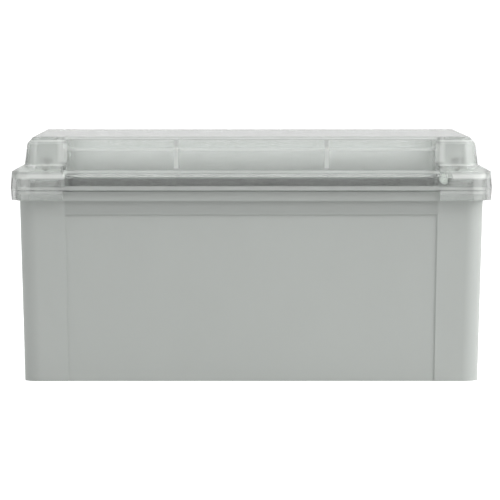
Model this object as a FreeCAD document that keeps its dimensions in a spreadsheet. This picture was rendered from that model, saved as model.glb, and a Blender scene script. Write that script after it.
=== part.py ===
"""Industrial junction box with a high clear lid, as separate pieces.

The box stands on its back face with the lid on top: +Z up, +X along the long side and the
front at -Y. The origin is the centre of the back face. Lengths are in millimetres.
"""
import FreeCAD, Part
import math
import os

import Sketcher

SIZES = [
    ("lid_length", 341.0, "outside length over the lid's skirt"),
    ("lid_width", 291.0, "outside width over the lid's skirt"),
    ("corner_length", 37.5, "length of a lid corner block along the long side"),
    ("corner_width", 51.0, "length of a lid corner block along the short side"),
    ("screw_inset", 25.1, "cover screw axis in from both outer sides"),
    ("body_height", 127.9, "back face to the underside of the collar"),
    ("base_overhang", 6.4, "lid skirt beyond the top of the base wall"),
    ("base_wall", 3.0, "wall of the base"),
    ("base_floor", 4.0, "floor of the base"),
    ("base_draft", 1.5, "mould draft of the base wall, degrees"),
    ("base_corner_radius", 12.0, "upright outer corner of the base"),
    ("collar_projection", 2.1, "collar beyond the wall"),
    ("collar_height", 4.9, "collar at the corners"),
    ("run_collar_rise", 1.5, "how much higher the collar is between the corners"),
    ("tongue_rise", 3.4, "sealing tongue above the collar"),
    ("seal_radius", 7.0, "corner radius of the seal path on its centre line"),
    ("panel_depth", 1.0, "recessed panel in each side wall"),
    ("panel_frame_top", 9.6, "plain band between the panel and the collar"),
    ("panel_frame_side", 32.7, "plain column beside a panel, at its top"),
    ("panel_spread", 2.0, "how much wider the panel is at its top on each side"),
    ("foot_recess", 1.0, "hollow under the floor"),
    ("foot_band", 38.0, "flat band around the hollow under the floor"),
    ("notch_draft_run", 0.8, "thickening of the notch wall's inner face down to the floor"),
    ("pillar_diameter", 16.6, "cover screw pillar"),
    ("pillar_rise", 5.9, "pillar above the sealing tongue"),
    ("pillar_rib_width", 2.8, "rib from pillar to wall"),
    ("pillar_rib_drop", 1.8, "rib below the sealing tongue"),
    ("insert_corners", 10.4, "six-sided threaded insert, over its corners"),
    ("insert_length", 12.0, "threaded insert in the pillar"),
    ("insert_bore", 6.2, "clear bore of the threaded insert"),
    ("wall_hole_diameter", 6.4, "wall fixing hole in the corner pocket"),
    ("wall_hole_inset", 24.5, "wall fixing hole in from the short outer sides"),
    ("wall_hole_reach", 44.5, "wall fixing hole in from the long outer sides"),
    ("gasket_width", 8.0, "foam gasket"),
    ("gasket_height", 6.3, "foam gasket"),
    ("seal_gap", 0.1, "gasket above the tongue in the model"),
    ("gasket_knot_radius", 3.8, "lump where the poured gasket starts and stops"),
    ("gasket_knot_rise", 3.1, "lump above the groove's roof"),
    ("lip_width", 2.0, "lip beside the gasket groove"),
    ("lip_drop", 0.5, "lip below the top of the tongue"),
    ("skirt_gap", 1.0, "play between the collar and the corner skirt"),
    ("skirt_drop", 0.5, "collar's lower edge below the corner skirt"),
    ("run_skirt_gap", 0.3, "gap over the collar between the corners"),
    ("run_setback", 1.1, "long and short side skirts behind the corner skirts"),
    ("run_draft", 3.0, "draft of the side skirts, degrees"),
    ("run_cover", 0.7, "side skirt's upper edge above the groove's roof"),
    ("run_shoulder_rise", 4.7, "height of the sloping side shoulder"),
    ("run_shoulder_width", 10.5, "depth of the sloping side shoulder"),
    ("parting_rise", 8.4, "lid's widest line above the underside of the collar"),
    ("skirt_draft", 4.2, "draft of the corner skirt, degrees"),
    ("corner_skirt_rise", 4.4, "corner skirt's upper edge above the groove's roof"),
    ("corner_shoulder_rise", 4.9, "height of the sloping corner shoulder"),
    ("corner_shoulder_width", 9.0, "depth of the sloping corner shoulder"),
    ("skirt_corner_radius", 15.0, "upright corner of the lid's skirt"),
    ("tower_corner_radius", 11.0, "upright corner of a lid tower"),
    ("lid_rise", 28.6, "lid's top above the groove's roof"),
    ("lid_wall", 3.0, "wall of the lid"),
    ("lid_draft", 7.0, "draft of the lid's upper walls, degrees"),
    ("lid_chamfer", 8.2, "sloping edge of the lid's top along the long sides"),
    ("lid_edge", 0.8, "sloping edge of the lid's top along the short sides"),
    ("tower_edge_drop", 4.6, "height of the sloping top edge at the corners"),
    ("tower_edge_width", 3.4, "width of the sloping top edge at the corners"),
    ("tower_wall", 2.5, "wall between the lid's room and a tower's side"),
    ("ledge_thickness", 3.0, "ledge over the gasket groove at the corners"),
    ("gusset_width", 2.4, "stiffening rib inside the lid"),
    ("gusset_depth", 7.0, "stiffening rib inside the lid"),
    ("gusset_spacing_long", 106.6, "ribs along the long sides"),
    ("gusset_spacing_short", 76.0, "ribs along the short sides"),
    ("tube_bore", 17.2, "lid tube that drops over the pillar"),
    ("tube_wall", 3.6, "wall of the lid tube"),
    ("tube_drop", 3.3, "lid tube below the groove's roof"),
    ("well_bore", 14.6, "well for the screw head"),
    ("well_wall", 2.5, "wall of the screw well"),
    ("well_step", 1.0, "where the tube narrows to the well, above the screw seat"),
    ("weld", 0.75, "how far a rib or well runs into the wall that carries it"),
    ("seat_level", 13.2, "screw seat above the groove's roof"),
    ("seat_thickness", 3.8, "wall under the screw head"),
    ("screw_hole", 6.8, "hole in the screw seat"),
    ("screw_shank", 6.0, "cover screw's shank"),
    ("screw_engagement", 7.0, "length of screw inside the insert"),
    ("screw_head", 13.4, "cover screw's head"),
    ("screw_head_height", 7.3, "cover screw's head"),
    ("screw_neck", 11.0, "top of the cone under the head"),
    ("screw_neck_foot", 9.0, "bottom of the cone under the head"),
    ("screw_neck_height", 4.7, "cone under the head"),
    ("drive_slot_width", 2.2, "cross recess in the head"),
    ("drive_slot_length", 8.6, "cross recess in the head"),
    ("drive_slot_depth", 3.0, "cross recess in the head"),
    ("retainer_diameter", 10.0, "push-on retaining ring"),
    ("retainer_thickness", 1.4, "push-on retaining ring"),
    ("retainer_rise", 0.6, "retaining ring above the pillar"),
    ("retainer_play", 0.05, "gap between the ring's bore and the shank"),
    ("plate_margin", 6.0, "mounting plate in from the inner walls"),
    ("plate_thickness", 2.0, "mounting plate"),
    ("plate_level", 13.0, "back face to the underside of the mounting plate"),
    ("plate_corner_radius", 4.0, "corners of the mounting plate"),
    ("boss_diameter", 10.0, "boss under the mounting plate"),
    ("boss_inset", 13.0, "boss in from the mounting plate's edges"),
    ("plate_screw_shank", 4.0, "mounting plate screw"),
    ("plate_screw_head", 8.0, "mounting plate screw"),
    ("plate_screw_head_height", 2.6, "mounting plate screw"),
    ("plate_screw_length", 9.0, "mounting plate screw under its head"),
    ("screw_play", 0.1, "play around a fixing screw, on the radius"),
    ("rail_width", 35.0, "top hat rail"),
    ("rail_height", 7.5, "top hat rail"),
    ("rail_thickness", 1.0, "top hat rail"),
    ("rail_hat_width", 27.0, "top hat rail across its upright walls"),
    ("rail_length", 230.0, "top hat rail"),
    ("rail_slot_length", 18.0, "slots in the rail"),
    ("rail_slot_width", 6.2, "slots in the rail"),
    ("rail_slot_pitch", 36.0, "slots in the rail"),
    ("rail_slot_corner", 1.8, "sloping corners of a rail slot"),
    ("rail_screw_shank", 5.0, "rail screw"),
    ("rail_screw_head", 9.0, "rail screw"),
    ("rail_screw_head_height", 3.0, "rail screw"),
    ("rail_screw_length", 7.0, "rail screw under its head"),
    ("terminal_pitch", 6.2, "terminals along the rail"),
    ("terminal_gap", 0.1, "gap between neighbours on the rail"),
    ("terminal_reach", 22.0, "half depth of a terminal across the rail"),
    ("terminal_top", 30.0, "terminal above the rail"),
    ("terminal_shoulder", 23.5, "clamp shoulder above the rail"),
    ("terminal_hook", 5.0, "terminal's foot below the rail's top"),
    ("terminal_ridge", 8.0, "half width of the terminal's ridge"),
    ("ridge_taper", 1.0, "how much narrower the ridge is at its top, each side"),
    ("jumper_slot_width", 3.6, "bridge slot along the ridge"),
    ("jumper_slot_depth", 5.0, "bridge slot along the ridge"),
    ("rail_grip", 0.15, "play of a foot around the rail"),
    ("wire_entry_width", 4.2, "funnel for the conductor"),
    ("wire_entry_height", 5.0, "funnel for the conductor"),
    ("wire_entry_level", 11.0, "funnel above the rail"),
    ("wire_entry_depth", 9.0, "funnel for the conductor"),
    ("clamp_hole", 4.4, "shaft over a clamp screw"),
    ("clamp_hole_depth", 7.0, "shaft over a clamp screw"),
    ("clamp_reach", 14.5, "clamp screw from the rail's centre line"),
    ("clamp_screw_head", 4.0, "clamp screw"),
    ("clamp_screw_height", 2.4, "clamp screw"),
    ("clamp_slot_width", 0.8, "slot in the clamp screw"),
    ("clamp_slot_depth", 1.0, "slot in the clamp screw"),
    ("end_plate_thickness", 2.0, "plate on the open side of the last terminal"),
    ("bracket_width", 8.0, "end bracket"),
    ("bracket_top", 20.0, "end bracket above the rail"),
    ("bracket_screw_hole", 6.4, "shaft over the bracket's screw"),
    ("bracket_screw_depth", 8.0, "shaft over the bracket's screw"),
    ("bracket_screw_head", 6.0, "bracket's screw"),
]
TERMINAL_COUNT = 10
RAIL_SLOT_COUNT = 6
HEXAGON = 6
OCTAGON = 8
SHANK_SIDES = 12
HEAD_SIDES = 16
SAME_LEVEL = 0.001
CORNERS = (("front_left", -1, -1), ("front_right", 1, -1), ("rear_left", -1, 1), ("rear_right", 1, 1))
CUT_MARGIN = 5.0
BEND_SHARE = math.tan(math.radians(45.0 / 2))  # a wall's inner 45 degree bend, per unit of wall
CORNER_SHARE = 2.0 - math.sqrt(2.0)  # leg of the 45 degree cut that touches a rounded corner

document = FreeCAD.newDocument("junction_box")
sheet = document.addObject("Spreadsheet::Sheet", "dims")
for row, (alias, number, note) in enumerate(SIZES, start=1):
    sheet.set(f"A{row}", alias)
    sheet.set(f"B{row}", str(number))
    sheet.set(f"C{row}", note)
    sheet.setAlias(f"B{row}", alias)
document.recompute()


class Size:
    """A live expression on the spreadsheet, so that a + b stays bound to its cells."""

    def __init__(self, text):
        self.text = text

    def __add__(self, other):
        return Size(f"({self.text} + {text_of(other)})")

    def __radd__(self, other):
        return Size(f"({text_of(other)} + {self.text})")

    def __sub__(self, other):
        return Size(f"({self.text} - {text_of(other)})")

    def __rsub__(self, other):
        return Size(f"({text_of(other)} - {self.text})")

    def __mul__(self, other):
        return Size(f"({self.text} * {text_of(other)})")

    def __rmul__(self, other):
        return Size(f"({text_of(other)} * {self.text})")

    def __truediv__(self, other):
        return Size(f"({self.text} / {text_of(other)})")

    def __neg__(self):
        return Size(f"(-1 * {self.text})")

    def value(self):
        return float(sheet.evalExpression(self.text))


def text_of(length):
    return length.text if isinstance(length, Size) else repr(float(length))


def value_of(length):
    return length.value() if isinstance(length, Size) else float(length)


def slope(angle):
    """Run per unit of rise of a wall drafted by the given angle."""
    return Size(f"tan({angle.text})")


class Sizes:
    """The spreadsheet's aliases as attributes."""


dims = Sizes()
for alias, number, note in SIZES:
    setattr(dims, alias, Size(f"dims.{alias}"))

# Levels above the back face
collar_foot = dims.body_height
corner_collar_top = collar_foot + dims.collar_height
run_collar_top = corner_collar_top + dims.run_collar_rise
tongue_top = run_collar_top + dims.tongue_rise
pillar_top = tongue_top + dims.pillar_rise
gasket_foot = tongue_top + dims.seal_gap
groove_roof = gasket_foot + dims.gasket_height
lip_foot = tongue_top - dims.lip_drop
skirt_foot = collar_foot + dims.skirt_drop
run_skirt_foot = run_collar_top + dims.run_skirt_gap
parting_line = collar_foot + dims.parting_rise
corner_skirt_top = groove_roof + dims.corner_skirt_rise
corner_shoulder_top = corner_skirt_top + dims.corner_shoulder_rise
run_skirt_top = groove_roof + dims.run_cover
run_shoulder_top = run_skirt_top + dims.run_shoulder_rise
ledge_top = groove_roof + dims.ledge_thickness
lid_top = groove_roof + dims.lid_rise
roof_underside = lid_top - dims.lid_wall
tube_foot = groove_roof - dims.tube_drop
seat_top = groove_roof + dims.seat_level
seat_underside = seat_top - dims.seat_thickness
insert_foot = pillar_top - dims.insert_length
plate_top = dims.plate_level + dims.plate_thickness
rail_top = plate_top + dims.rail_height

# Plan distances from the centre: half the box, and the places of the corner features
half_length = dims.lid_length / 2
half_width = dims.lid_width / 2
corner_x = half_length - dims.corner_length
corner_y = half_width - dims.corner_width
screw_x = half_length - dims.screw_inset
screw_y = half_width - dims.screw_inset
wall_hole_x = half_length - dims.wall_hole_inset
wall_hole_y = half_width - dims.wall_hole_reach
seal_inset = dims.base_overhang + dims.base_wall / 2
notch_x = corner_x - dims.gasket_width / 2
notch_y = corner_y - dims.gasket_width / 2
base_taper = slope(dims.base_draft)
base_foot_inset = dims.base_overhang + dims.body_height * base_taper


def new_body(label):
    body = document.addObject("PartDesign::Body", label)
    body.Label = label
    body.AllowCompound = True
    return body


def sketch_on(body, name, plane, offset=0.0, lean=None):
    """An empty sketch on one of the body's own planes.

    The XY plane looks along +Z, the XZ plane along -Y and the YZ plane along +X. A lean
    turns the sketch about its own horizontal axis.
    """
    sketch = body.newObject("Sketcher::SketchObject", name)
    support = next(part for part in body.Origin.OriginFeatures if part.Role == plane)
    sketch.AttachmentSupport = (support, [""])
    sketch.MapMode = "FlatFace"
    if lean is not None:
        turn = FreeCAD.Rotation(FreeCAD.Vector(1, 0, 0), value_of(lean))
        sketch.AttachmentOffset = FreeCAD.Placement(FreeCAD.Vector(), turn)
        sketch.setExpression("AttachmentOffset.Rotation.Angle", text_of(lean))
    sketch.setExpression("AttachmentOffset.Base.z", text_of(offset))
    return sketch


def constrain(sketch, constraints):
    """Add constraints. Each is (Sketcher.Constraint, size that drives it or None)."""
    indices = sketch.addConstraint([constraint for constraint, size in constraints])
    for index, (constraint, size) in zip(indices, constraints):
        if size is not None:
            sketch.setExpression(f"Constraints[{index}]", text_of(size))


def fix_point(geometry, point, place):
    """Constraints that hold a point of a sketch at a place given by two sizes."""
    across, along = place
    return [
        (Sketcher.Constraint("DistanceX", -1, 1, geometry, point, value_of(across)), across),
        (Sketcher.Constraint("DistanceY", -1, 1, geometry, point, value_of(along)), along),
    ]


def add_polygon(sketch, corners):
    """A closed outline with sharp corners."""
    places = [FreeCAD.Vector(value_of(across), value_of(along), 0) for across, along in corners]
    count = len(places)
    first = sketch.GeometryCount
    lines = [Part.LineSegment(places[i], places[(i + 1) % count]) for i in range(count)]
    sketch.addGeometry(lines, False)
    constraints = []
    for i, corner in enumerate(corners):
        following = first + (i + 1) % count
        constraints.append((Sketcher.Constraint("Coincident", first + i, 2, following, 1), None))
        constraints += fix_point(first + i, 1, corner)
    constrain(sketch, constraints)


def add_rounded(sketch, corners, radii):
    """A closed outline of level and upright lines with a tangent arc at each corner."""
    places = [FreeCAD.Vector(value_of(across), value_of(along), 0) for across, along in corners]
    count = len(places)
    first = sketch.GeometryCount
    headings = []
    for i in range(count):
        heading = places[(i + 1) % count] - places[i]
        headings.append(heading / heading.Length)
    lines = []
    for i in range(count):
        start = places[i] + headings[i] * value_of(radii[i])
        end = places[(i + 1) % count] - headings[i] * value_of(radii[(i + 1) % count])
        lines.append(Part.LineSegment(start, end))
    arcs = []
    turns_left = []
    for i in range(count):
        incoming = headings[i - 1]
        outgoing = headings[i]
        radius = value_of(radii[i])
        centre = places[i] - incoming * radius + outgoing * radius
        entry = places[i] - incoming * radius - centre
        leaving = places[i] + outgoing * radius - centre
        left = incoming.x * outgoing.y - incoming.y * outgoing.x > 0
        start, end = (entry, leaving) if left else (leaving, entry)
        circle = Part.Circle(centre, FreeCAD.Vector(0, 0, 1), radius)
        arcs.append(Part.ArcOfCircle(circle, math.atan2(start.y, start.x), math.atan2(end.y, end.x)))
        turns_left.append(left)
    sketch.addGeometry(lines + arcs, False)
    constraints = []
    for i in range(count):
        line = first + i
        arc = first + count + i
        before = first + (i - 1) % count
        entry_point, leaving_point = (1, 2) if turns_left[i] else (2, 1)
        constraints.append((Sketcher.Constraint("Tangent", before, 2, arc, entry_point), None))
        constraints.append((Sketcher.Constraint("Tangent", arc, leaving_point, line, 1), None))
        constraints.append((Sketcher.Constraint("Radius", arc, value_of(radii[i])), radii[i]))
        across, along = fix_point(line, 1, corners[i])
        if abs(headings[i].y) < abs(headings[i].x):
            constraints.append((Sketcher.Constraint("Horizontal", line), None))
            constraints.append(along)
        else:
            constraints.append((Sketcher.Constraint("Vertical", line), None))
            constraints.append(across)
    constrain(sketch, constraints)


def add_circle(sketch, centre, radius):
    first = sketch.GeometryCount
    place = FreeCAD.Vector(value_of(centre[0]), value_of(centre[1]), 0)
    sketch.addGeometry([Part.Circle(place, FreeCAD.Vector(0, 0, 1), value_of(radius))], False)
    held = (Sketcher.Constraint("Radius", first, value_of(radius)), radius)
    constrain(sketch, fix_point(first, 3, centre) + [held])


def add_regular(sketch, centre, diameter, sides):
    """A polygon of equal sides whose corners lie on a circle."""
    corners = []
    for number in range(sides):
        angle = 2 * math.pi * (number + 0.5) / sides
        across = centre[0] + diameter * (math.cos(angle) / 2)
        along = centre[1] + diameter * (math.sin(angle) / 2)
        corners.append((across, along))
    add_polygon(sketch, corners)


def box_corners(low_x, high_x, low_y, high_y):
    return [(low_x, low_y), (high_x, low_y), (high_x, high_y), (low_x, high_y)]


def corner_room(side_x, side_y, near_x, near_y, far_x, far_y, cut):
    """Outline of a room in a corner of the box, its outermost corner cut off at 45 degrees."""
    outline = [
        (near_x * side_x, near_y * side_y),
        (far_x * side_x, near_y * side_y),
        (far_x * side_x, (far_y - cut) * side_y),
        ((far_x - cut) * side_x, far_y * side_y),
        (near_x * side_x, far_y * side_y),
    ]
    return outline if side_x * side_y > 0 else outline[::-1]


def add_rectangle(sketch, low_x, high_x, low_y, high_y):
    add_polygon(sketch, box_corners(low_x, high_x, low_y, high_y))


def add_rounded_rectangle(sketch, reach_x, reach_y, radius):
    corners = box_corners(-reach_x, reach_x, -reach_y, reach_y)
    add_rounded(sketch, corners, [radius] * len(corners))


def add_notched(sketch, reach_x, reach_y, inner_x, inner_y, convex, concave):
    """A rectangle with all four corners notched, its outer and its inner corners rounded."""
    corners = []
    radii = []
    for side_x, side_y in ((1, -1), (1, 1), (-1, 1), (-1, -1)):
        long_end = (reach_x * side_x, inner_y * side_y)
        inside = (inner_x * side_x, inner_y * side_y)
        wide_end = (inner_x * side_x, reach_y * side_y)
        trio = [wide_end, inside, long_end] if side_x * side_y < 0 else [long_end, inside, wide_end]
        corners += trio
        radii += [convex, concave, convex]
    add_rounded(sketch, corners, radii)


def add_seal_outline(sketch, outward):
    """The notched seal path, moved outward by the given distance."""
    add_notched(
        sketch,
        half_length - seal_inset + outward,
        half_width - seal_inset + outward,
        notch_x + outward,
        notch_y + outward,
        dims.seal_radius + outward,
        dims.seal_radius - outward,
    )


volumes = {}


def finish_feature(body, feature, adds):
    """Recompute and make sure that the feature added or removed material."""
    before = volumes.get(body.Label, 0.0)
    document.recompute()
    volume = body.Shape.Volume
    if (volume - before > 0) != adds or feature.State != ["Up-to-date"]:
        raise RuntimeError(f"{body.Label}: {feature.Name} changed nothing ({feature.State})")
    volumes[body.Label] = volume
    return feature


def pad(body, sketch, length, backwards=False, both_ways=False, draft=None):
    """Extrude a sketch. A draft makes the walls lean in as they rise."""
    feature = body.newObject("PartDesign::Pad", f"{sketch.Name}_pad")
    feature.Profile = sketch
    feature.SideType = "Symmetric" if both_ways else "One side"
    feature.Reversed = backwards
    feature.setExpression("Length", text_of(length))
    if draft is not None:
        feature.setExpression("TaperAngle", text_of(-draft))
    return finish_feature(body, feature, adds=True)


def pocket(body, sketch, length, backwards=False, both_ways=False, draft=None):
    """Cut against the way that the sketch faces, or the way it faces if backwards.

    A draft makes the pocket narrower the deeper it goes.
    """
    feature = body.newObject("PartDesign::Pocket", f"{sketch.Name}_cut")
    feature.Profile = sketch
    feature.SideType = "Symmetric" if both_ways else "One side"
    feature.Reversed = backwards
    feature.setExpression("Length", text_of(length))
    if draft is not None:
        feature.setExpression("TaperAngle", text_of(-draft))
    return finish_feature(body, feature, adds=False)


def loft(body, sketches, cuts=False):
    kind = "PartDesign::SubtractiveLoft" if cuts else "PartDesign::AdditiveLoft"
    feature = body.newObject(kind, f"{sketches[0].Name}_loft")
    feature.Profile = sketches[0]
    feature.Sections = sketches[1:]
    feature.Ruled = True
    return finish_feature(body, feature, adds=not cuts)


def repeat_along_x(body, features, spacing, count):
    """Repeat features of a body at an even spacing towards +X."""
    pattern = body.newObject("PartDesign::LinearPattern", f"{features[0].Name}_row")
    pattern.Originals = features
    pattern.Direction = (features[0].Profile[0], ["H_Axis"])
    pattern.Occurrences = count
    pattern.setExpression("Length", text_of(spacing * (count - 1)))
    body.Tip = pattern
    finish_feature(body, pattern, adds=True)


def place_body(body, across=0.0, along=0.0, up=0.0):
    for axis, distance in (("x", across), ("y", along), ("z", up)):
        body.setExpression(f"Placement.Base.{axis}", text_of(distance))


def each_corner(across, along):
    """The same plan position at all four corners."""
    return [(across * side_x, along * side_y) for name, side_x, side_y in CORNERS]


def make_base_shell():
    body = new_body("base_shell")
    foot = sketch_on(body, "wall_foot", "XY_Plane")
    add_rounded_rectangle(
        foot, half_length - base_foot_inset, half_width - base_foot_inset, dims.base_corner_radius
    )
    rim = sketch_on(body, "wall_rim", "XY_Plane", dims.body_height)
    add_rounded_rectangle(
        rim,
        half_length - dims.base_overhang,
        half_width - dims.base_overhang,
        dims.base_corner_radius,
    )
    loft(body, [foot, rim])
    collar = sketch_on(body, "collar", "XY_Plane", collar_foot)
    collar_inset = dims.base_overhang - dims.collar_projection
    add_rounded_rectangle(
        collar,
        half_length - collar_inset,
        half_width - collar_inset,
        dims.base_corner_radius + dims.collar_projection,
    )
    pad(body, collar, run_collar_top - collar_foot)
    step = sketch_on(body, "corner_collar_step", "XY_Plane", run_collar_top)
    for side_x, side_y in ((-1, -1), (1, -1), (-1, 1), (1, 1)):
        across = sorted_pair(corner_x * side_x, half_length * side_x, side_x)
        along = sorted_pair(corner_y * side_y, half_width * side_y, side_y)
        add_rectangle(step, across[0], across[1], along[0], along[1])
    pocket(body, step, dims.run_collar_rise)
    tongue = sketch_on(body, "tongue", "XY_Plane", collar_foot)
    add_seal_outline(tongue, dims.base_wall / 2)
    pad(body, tongue, tongue_top - collar_foot)
    cut_equipment_space(body)
    cut_corner_pockets(body)
    add_pillars(body)
    add_pillar_ribs(body)
    cut_pillar_bores(body)
    cut_wall_holes(body)
    cut_side_panels(body)
    hollow = sketch_on(body, "foot_hollow", "XY_Plane")
    add_rounded_rectangle(
        hollow,
        half_length - base_foot_inset - dims.foot_band,
        half_width - base_foot_inset - dims.foot_band,
        dims.base_corner_radius,
    )
    pocket(body, hollow, dims.foot_recess, backwards=True)
    add_plate_bosses(body)
    return body


def sorted_pair(near, far, side):
    """Two places on one side of the centre, the lower one first."""
    return (near, far) if side > 0 else (far, near)


def cavity_reach(level, inset):
    """Half sizes of the equipment space at a level, drafted like the outer wall."""
    drop = (dims.body_height - level) * base_taper
    return half_length - inset - drop, half_width - inset - drop


def cut_equipment_space(body):
    """The sealed space, whose notched outline is the inner face of the seal path."""
    inner = dims.base_overhang + dims.base_wall
    sections = []
    for name, level, thickening in (
        ("space_floor", dims.base_floor, dims.notch_draft_run),
        ("space_collar", dims.body_height, 0.0),
        ("space_rim", tongue_top, 0.0),
    ):
        section = sketch_on(body, name, "XY_Plane", level)
        if name == "space_floor":
            reach_x, reach_y = cavity_reach(level, inner)
        else:
            reach_x, reach_y = half_length - inner, half_width - inner
        add_notched(
            section,
            reach_x,
            reach_y,
            notch_x - dims.base_wall / 2 - thickening,
            notch_y - dims.base_wall / 2 - thickening,
            dims.seal_radius - dims.base_wall / 2,
            dims.seal_radius + dims.base_wall / 2,
        )
        sections.append(section)
    loft(body, sections, cuts=True)


def cut_corner_pockets(body):
    """The open pockets outside the seal that hold the pillars and the wall fixings."""
    inner = dims.base_overhang + dims.base_wall
    cut = (dims.base_corner_radius - dims.base_wall) * CORNER_SHARE
    pockets = sketch_on(body, "corner_pockets", "XY_Plane", run_collar_top)
    for name, side_x, side_y in CORNERS:
        add_polygon(pockets, corner_room(
            side_x, side_y,
            notch_x + dims.base_wall / 2, notch_y + dims.base_wall / 2,
            half_length - inner, half_width - inner, cut,
        ))
    pocket(body, pockets, run_collar_top - dims.base_floor, draft=dims.base_draft)


def add_pillars(body):
    pillars = sketch_on(body, "pillars", "XY_Plane", dims.base_floor / 2)
    for place in each_corner(screw_x, screw_y):
        add_circle(pillars, place, dims.pillar_diameter / 2)
    pad(body, pillars, pillar_top - dims.base_floor / 2)


def add_pillar_ribs(body):
    """Upright ribs from each pillar to the outer walls, sloped with the walls' draft."""
    rib_top = tongue_top - dims.pillar_rib_drop
    foot = dims.base_floor / 2
    wall_middle = dims.base_overhang + dims.base_wall / 2
    for plane, middle, half, axis in (
        ("XZ_Plane", screw_y, half_length, screw_x),
        ("YZ_Plane", screw_x, half_width, screw_y),
    ):
        for side in (-1, 1):
            ribs = sketch_on(body, f"ribs_{plane[:2].lower()}_{'low' if side < 0 else 'high'}",
                             plane, middle * side)
            foot_reach = half - wall_middle - (dims.body_height - foot) * base_taper
            for end in (-1, 1):
                corners = [
                    (axis * end, foot),
                    (foot_reach * end, foot),
                    ((half - wall_middle) * end, corner_collar_top - dims.base_wall),
                    ((half - wall_middle) * end, corner_collar_top),
                    (axis * end, rib_top),
                ]
                add_polygon(ribs, corners)
            pad(body, ribs, dims.pillar_rib_width, both_ways=True)


def cut_pillar_bores(body):
    bores = sketch_on(body, "insert_bores", "XY_Plane", pillar_top)
    for place in each_corner(screw_x, screw_y):
        add_regular(bores, place, dims.insert_corners, HEXAGON)
    pocket(body, bores, dims.insert_length)


def cut_wall_holes(body):
    holes = sketch_on(body, "wall_holes", "XY_Plane", dims.base_floor)
    for place in each_corner(wall_hole_x, wall_hole_y):
        add_circle(holes, place, dims.wall_hole_diameter / 2)
    pocket(body, holes, dims.base_floor)


def cut_side_panels(body):
    """A shallow panel in each outer wall, lying parallel to the drafted wall."""
    for plane, half, other in (
        ("XZ_Plane", half_width, half_length),
        ("YZ_Plane", half_length, half_width),
    ):
        for side in (-1, 1):
            face = (half - base_foot_inset) * side
            panel = sketch_on(body, f"panel_{plane[:2].lower()}_{'low' if side < 0 else 'high'}",
                              plane, face, dims.base_draft * side)
            reach = other - dims.panel_frame_side - dims.base_overhang
            top = dims.body_height - dims.panel_frame_top
            foot = -CUT_MARGIN
            corners = [
                (-(reach - dims.panel_spread), foot),
                (reach - dims.panel_spread, foot),
                (reach, top),
                (-reach, top),
            ]
            add_polygon(panel, corners)
            pocket(body, panel, dims.panel_depth, backwards=side < 0)


def add_plate_bosses(body):
    bosses = sketch_on(body, "plate_bosses", "XY_Plane", dims.base_floor / 2)
    holes = sketch_on(body, "boss_holes", "XY_Plane", dims.plate_level)
    for place in boss_places():
        add_circle(bosses, place, dims.boss_diameter / 2)
        add_circle(holes, place, dims.plate_screw_shank / 2 + dims.screw_play)
    pad(body, bosses, dims.plate_level - dims.base_floor / 2)
    pocket(body, holes, dims.plate_screw_length - dims.plate_thickness + dims.screw_play)


def plate_reach():
    """Half sizes of the notched mounting plate: its long ends, then its notches."""
    reach_x, reach_y = cavity_reach(dims.base_floor, dims.base_overhang + dims.base_wall)
    inner = dims.base_wall / 2 + dims.notch_draft_run + dims.plate_margin
    return reach_x - dims.plate_margin, reach_y - dims.plate_margin, notch_x - inner, notch_y - inner


def boss_places():
    reach_x, reach_y, inner_x, inner_y = plate_reach()
    return each_corner(inner_x - dims.boss_inset, reach_y - dims.boss_inset)


def run_profile(half, chamfer=dims.lid_chamfer):
    """Outer profile of the lid between its corners: (distance from the centre, level)."""
    foot = half - dims.run_setback
    skirt_top_reach = foot - (run_skirt_top - run_skirt_foot) * slope(dims.run_draft)
    wall_foot = skirt_top_reach - dims.run_shoulder_width
    wall_top = wall_foot - (lid_top - chamfer - run_shoulder_top) * slope(dims.lid_draft)
    return [
        (foot, run_skirt_foot),
        (skirt_top_reach, run_skirt_top),
        (wall_foot, run_shoulder_top),
        (wall_top, lid_top - chamfer),
        (wall_top - chamfer, lid_top),
    ]


def run_inner_reach(half, level):
    """Inner face of the lid's upper wall between the corners, at a level."""
    wall_foot = run_profile(half)[2][0] - dims.lid_wall
    return wall_foot - (level - run_shoulder_top) * slope(dims.lid_draft)


def make_lid():
    body = new_body("lid")
    add_lid_block(body)
    cut_lid_runs(body)
    hollow_skirt(body)
    add_seal_lips(body)
    hollow_dome(body)
    for name, side_x, side_y in CORNERS:
        hollow_tower(body, name, side_x, side_y)
    add_screw_tubes(body)
    add_gussets(body)
    knot = sketch_on(body, "knot_room", "XY_Plane", lip_foot)
    add_circle(knot, knot_place(), dims.gasket_knot_radius)
    pocket(body, knot, groove_roof + dims.gasket_knot_rise - lip_foot, backwards=True)
    return body


def knot_place():
    """Where the poured gasket starts and stops: just outside the front right turn."""
    lead = dims.gasket_width / 2 + dims.lip_width
    return notch_x + lead, -(half_width - seal_inset)


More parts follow.
